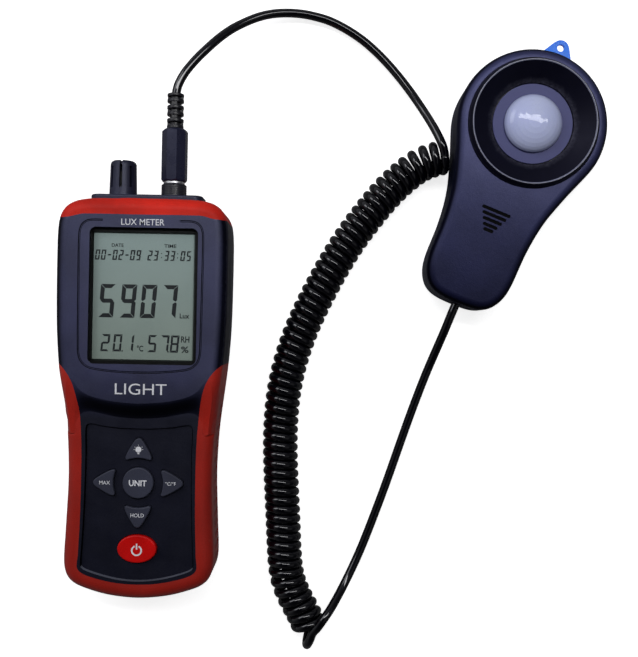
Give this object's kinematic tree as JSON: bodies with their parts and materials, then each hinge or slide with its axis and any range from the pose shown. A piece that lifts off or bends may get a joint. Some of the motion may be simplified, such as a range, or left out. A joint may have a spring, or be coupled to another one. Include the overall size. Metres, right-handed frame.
{
  "type": "light meter",
  "caption": "Hand-held light meter with display, keypad and air sensor, and a remote domed light sensor on a coiled cord.",
  "frame": {"origin": "centre of the meter body's back face", "axes": "+Z out of the display, +Y towards the socket end of the meter, +X to the right when the display is read"},
  "size_m": [0.233, 0.2812, 0.0335],
  "materials": {
    "black_case": "fine spark texture",
    "red_rubber_band": "soft matte",
    "red_rubber_boot": "soft satin",
    "key_rubber": "soft matte, white printed legends",
    "power_key_rubber": "soft matte, white printed symbol",
    "clear_lens": "clear",
    "lcd": "satin grey green with dark segments",
    "diffuse_film": "satin",
    "contact_rubber": "matte",
    "green_board": "solder mask",
    "component_black": "moulded",
    "steel": "zinc plated",
    "nickel": "nickel plated",
    "keypad_silicone": "matte",
    "spring_steel": "satin",
    "battery_wrap": "satin, blank",
    "clip_plastic": "moulded",
    "wire": "gloss",
    "label": "blank satin plate",
    "foam": "open cell",
    "plug_black": "satin moulded",
    "insulator": "moulded",
    "cord_jacket": "gloss black",
    "head_case": "fine spark texture, blue grey",
    "ring_black": "satin",
    "white_diffuser": "translucent opal",
    "holder_black": "matt",
    "filter_glass": "clear green",
    "sensor_chip": "gloss",
    "blue_tab": "translucent"
  },
  "bodies": {
    "meter": {"front_case": "black_case", "rear_case": "black_case", "lower_rubber_boot": "red_rubber_boot", "top_rubber_band": "red_rubber_band", "display_lens": "clear_lens", "display_bezel": "component_black", "display_glass": "lcd", "display_backlight": "diffuse_film", "display_contact_strips": "contact_rubber", "main_board": "green_board", "board_screws": "steel", "board_components": "component_black", "buzzer": "component_black", "keypad_mat": "keypad_silicone", "snap_domes": "spring_steel", "top_panel": "black_case", "air_sensor_cage": "black_case", "air_sensor_board": "green_board", "socket_bushing": "nickel", "socket_body": "component_black", "socket_contacts": "spring_steel", "battery": "battery_wrap", "battery_clip": "clip_plastic", "battery_clip_wires": "wire", "case_screws": "steel", "rating_label": "label"},
    "backlight_key": {"backlight_key": "key_rubber"},
    "max_key": {"max_key": "key_rubber"},
    "hold_key": {"hold_key": "key_rubber"},
    "temperature_unit_key": {"temperature_unit_key": "key_rubber"},
    "unit_key": {"unit_key": "key_rubber"},
    "power_key": {"power_key": "power_key_rubber"},
    "door": {"battery_door": "black_case", "battery_door_pad": "foam", "battery_door_screw": "steel"},
    "plug": {"plug_barrel": "plug_black", "plug_pin": "nickel", "plug_insulators": "insulator", "strain_relief": "plug_black"},
    "cord_top": {"upper_lead": "cord_jacket", "coiled_cord": "cord_jacket"},
    "cord_bottom": {"lower_lead": "cord_jacket"},
    "sensor_head": {"head_upper_shell": "head_case", "head_lower_shell": "head_case", "baffle_ring": "ring_black", "light_diffuser": "white_diffuser", "filter_holder": "holder_black", "green_filter": "filter_glass", "photodiode": "sensor_chip", "sensor_board": "green_board", "cord_clamp": "component_black", "clamp_screws": "steel", "head_screws": "steel", "hanging_tab": "blue_tab"}
  },
  "joints": [
    {"name": "backlight_key_press", "type": "slide", "parent": "meter", "child": "backlight_key", "axis": [0, 0, -1], "range_m": [0, 0.0006], "stiffness_N_per_m": 400},
    {"name": "max_key_press", "type": "slide", "parent": "meter", "child": "max_key", "axis": [0, 0, -1], "range_m": [0, 0.0006], "stiffness_N_per_m": 400},
    {"name": "hold_key_press", "type": "slide", "parent": "meter", "child": "hold_key", "axis": [0, 0, -1], "range_m": [0, 0.0006], "stiffness_N_per_m": 400},
    {"name": "temperature_unit_key_press", "type": "slide", "parent": "meter", "child": "temperature_unit_key", "axis": [0, 0, -1], "range_m": [0, 0.0006], "stiffness_N_per_m": 400},
    {"name": "unit_key_press", "type": "slide", "parent": "meter", "child": "unit_key", "axis": [0, 0, -1], "range_m": [0, 0.0006], "stiffness_N_per_m": 400},
    {"name": "power_key_press", "type": "slide", "parent": "meter", "child": "power_key", "axis": [0, 0, -1], "range_m": [0, 0.0006], "stiffness_N_per_m": 400},
    {"name": "battery_door_lift", "type": "slide", "parent": "meter", "child": "door", "axis": [0, 0, -1], "range_m": [0, 0.03]},
    {"name": "plug_pull", "type": "slide", "parent": "meter", "child": "plug", "axis": [0, 1, 0], "range_m": [0, 0.018]},
    {"name": "lead_bend", "type": "hinge", "parent": "plug", "child": "cord_top", "pos_m": [0.0107, 0.1316, 0.0175], "axis": [0, 0, 1], "range_deg": [-4, 35], "deforming": ["upper_lead", "coiled_cord"]},
    {"name": "coil_stretch", "type": "slide", "parent": "cord_top", "child": "cord_bottom", "axis": [0.3, -0.9539, 0], "range_m": [0, 0.09], "stiffness_N_per_m": 25, "deforming": ["coiled_cord", "lower_lead"]},
    {"name": "head_turn", "type": "hinge", "parent": "cord_bottom", "child": "sensor_head", "pos_m": [0.13477, 0.04303, 0.0105], "axis": [0, 0, 1], "range_deg": [-50, 0], "deforming": ["lower_lead"]}
  ]
}
